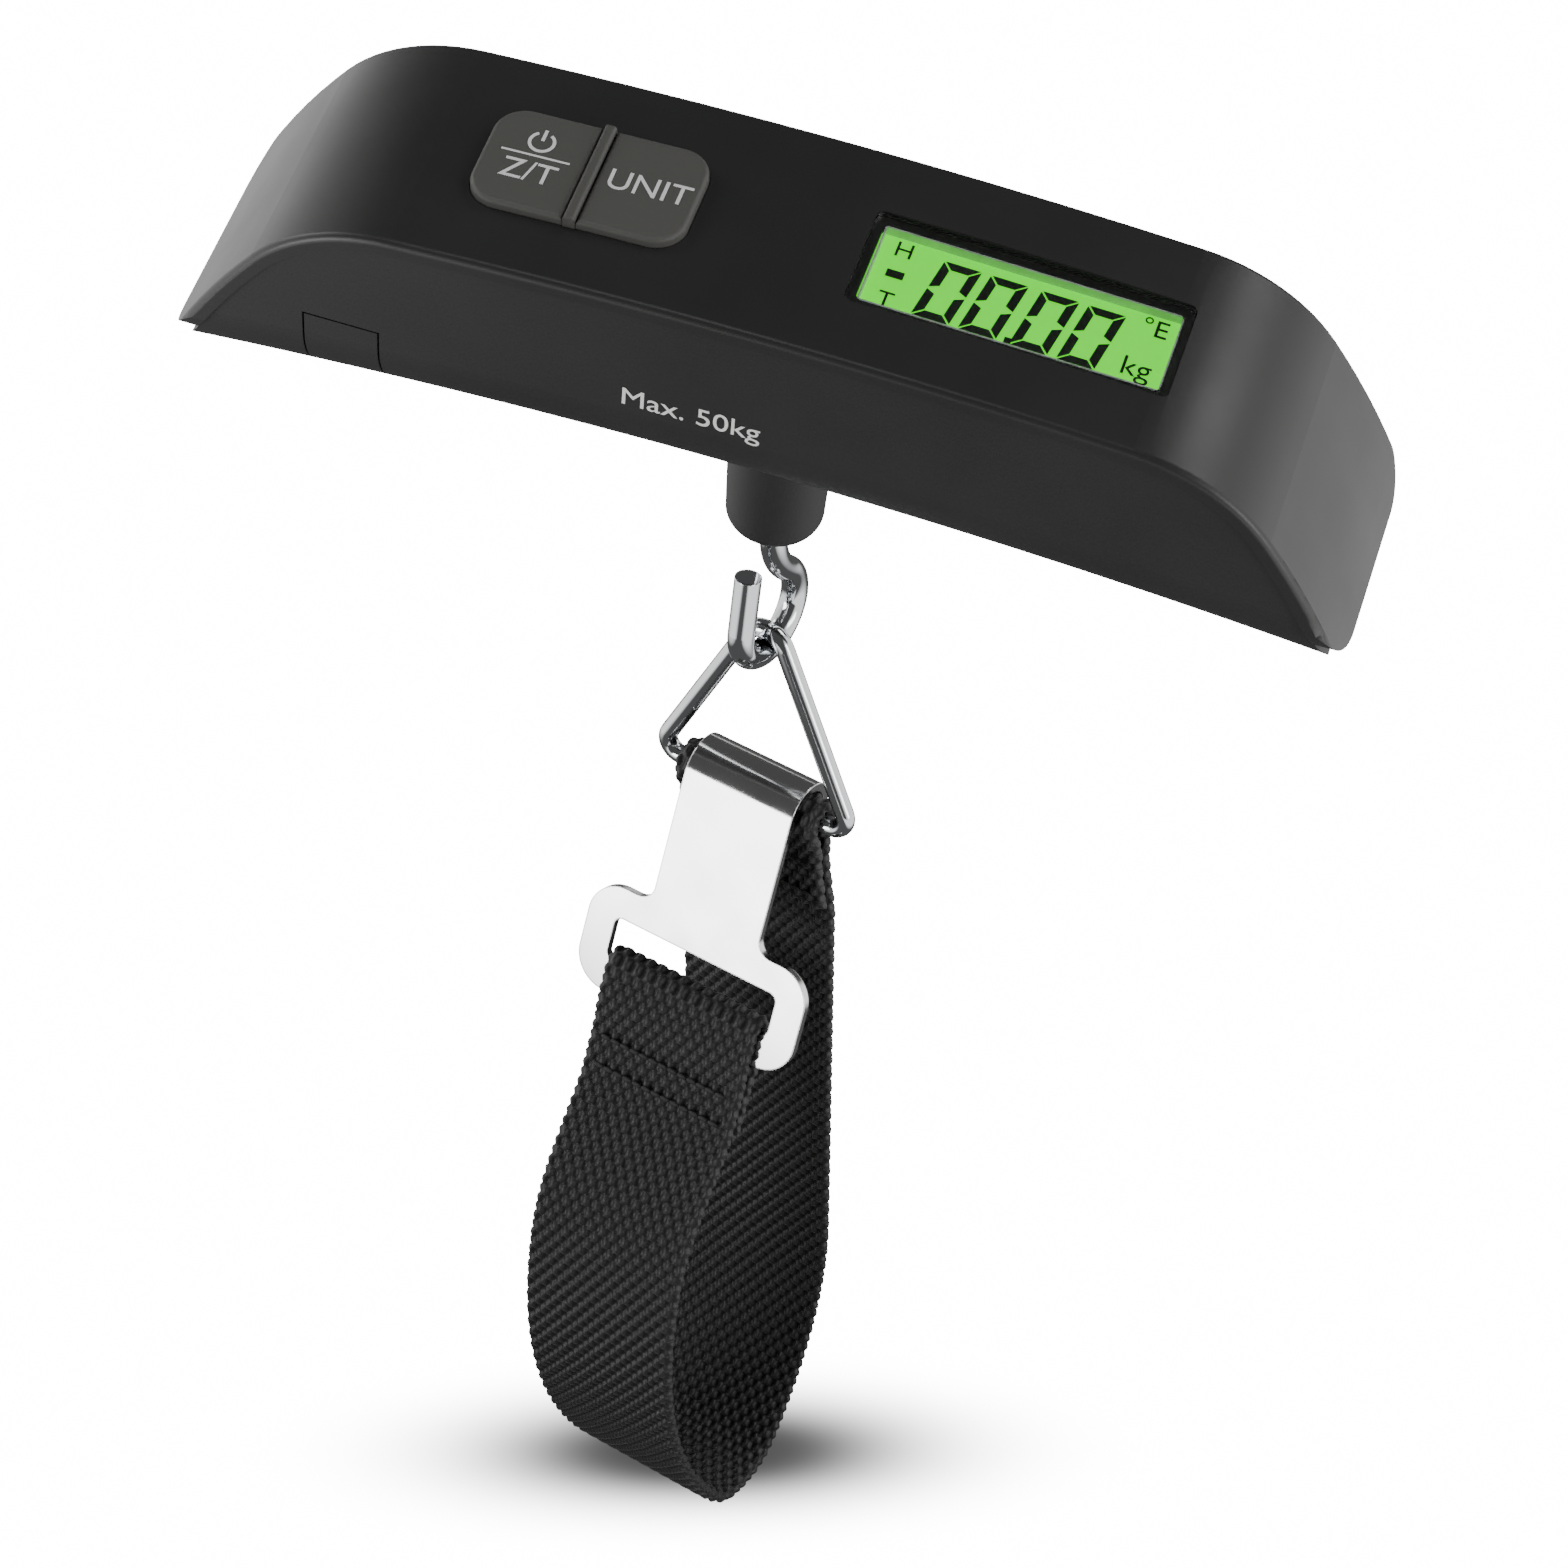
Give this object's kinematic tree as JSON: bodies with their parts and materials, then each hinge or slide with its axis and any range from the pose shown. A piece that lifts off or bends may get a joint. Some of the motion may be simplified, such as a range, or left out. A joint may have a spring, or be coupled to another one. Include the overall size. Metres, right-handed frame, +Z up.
{
  "type": "digital luggage scale",
  "caption": "Hand-held digital luggage scale: arched plastic body with lit display and two keys, swivel hook, triangular ring and a webbing loop closed by a hook plate.",
  "frame": {"origin": "on the hook's swivel axis, level with the two tips of the arched cover", "axes": "+X along the body towards the display, +Y to its back, +Z up through the display"},
  "size_m": [0.15, 0.0808, 0.2191],
  "materials": {
    "cover_plastic": "satin",
    "housing_plastic": "matte",
    "key_rubber": "matte",
    "clear_lens": "gloss",
    "display_glass": "gloss",
    "inner_plastic": "matte",
    "light_guide": "gloss",
    "chrome": "polished",
    "polished_steel": "polished",
    "black_webbing": "woven",
    "circuit_board": "satin",
    "chip_resin": "matte",
    "steel": "satin",
    "contact_rubber": "matte",
    "wire_sleeve": "satin",
    "beam_alloy": "satin",
    "gauge_film": "gloss"
  },
  "bodies": {
    "body": {"top_cover": "cover_plastic", "lower_housing": "housing_plastic", "button_rib": "key_rubber", "lcd_lens": "clear_lens", "lcd_glass": "display_glass", "lcd_frame": "inner_plastic", "backlight": "light_guide", "main_board": "circuit_board", "controller_chip": "chip_resin", "crystal": "steel", "zebra_strip": "contact_rubber", "power_switch": "steel", "unit_switch": "steel", "thermistor": "chip_resin", "coin_cell": "steel", "cell_contact_plus": "steel", "cell_contact_minus": "steel", "battery_wires": "wire_sleeve", "load_cell": "beam_alloy", "strain_gauges": "gauge_film", "sensor_wires": "wire_sleeve", "load_cell_screws": "steel", "thrust_washer": "steel", "housing_screws": "steel", "board_screws": "steel"},
    "power_key": {"power_button": "key_rubber"},
    "unit_key": {"unit_button": "key_rubber"},
    "door": {"battery_door": "housing_plastic"},
    "swivel": {"swivel_stud": "steel", "lock_nut": "steel"},
    "hook": {"hook": "chrome"},
    "ring": {"ring": "chrome"},
    "strap": {"ring_strap": "black_webbing"},
    "plate": {"hook_plate": "polished_steel", "plate_strap": "black_webbing"}
  },
  "joints": [
    {"name": "power_button_press", "type": "slide", "parent": "body", "child": "power_key", "axis": [0.0381, 0, -0.9993], "range_m": [0, 0.0007], "stiffness_N_per_m": 600},
    {"name": "unit_button_press", "type": "slide", "parent": "body", "child": "unit_key", "axis": [0.0381, 0, -0.9993], "range_m": [0, 0.0007], "stiffness_N_per_m": 600},
    {"name": "battery_door_open", "type": "hinge", "parent": "body", "child": "door", "pos_m": [-0.047, 0.008, 0], "axis": [1, 0, 0], "range_deg": [0, 100]},
    {"name": "hook_swivel", "type": "hinge", "parent": "body", "child": "swivel", "pos_m": [0, 0, 0], "axis": [0, 0, 1], "continuous": true},
    {"name": "hook_swing", "type": "hinge", "parent": "swivel", "child": "hook", "pos_m": [0, 0, -0.015], "axis": [0.9522, -0.2753, 0.1326], "range_deg": [-3, 28]},
    {"name": "ring_swing", "type": "hinge", "parent": "hook", "child": "ring", "pos_m": [0.00171, -0.00531, -0.03829], "axis": [0.9522, -0.2753, 0.1326], "range_deg": [-40, 40]},
    {"name": "strap_swing", "type": "hinge", "parent": "ring", "child": "strap", "pos_m": [0.00368, -0.01142, -0.06513], "axis": [0.9522, -0.2753, 0.1326], "range_deg": [-12, 40]},
    {"name": "hook_plate_lift", "type": "slide", "parent": "strap", "child": "plate", "axis": [0.0292, 0.514, 0.8573], "range_m": [0, 0.0065]}
  ]
}
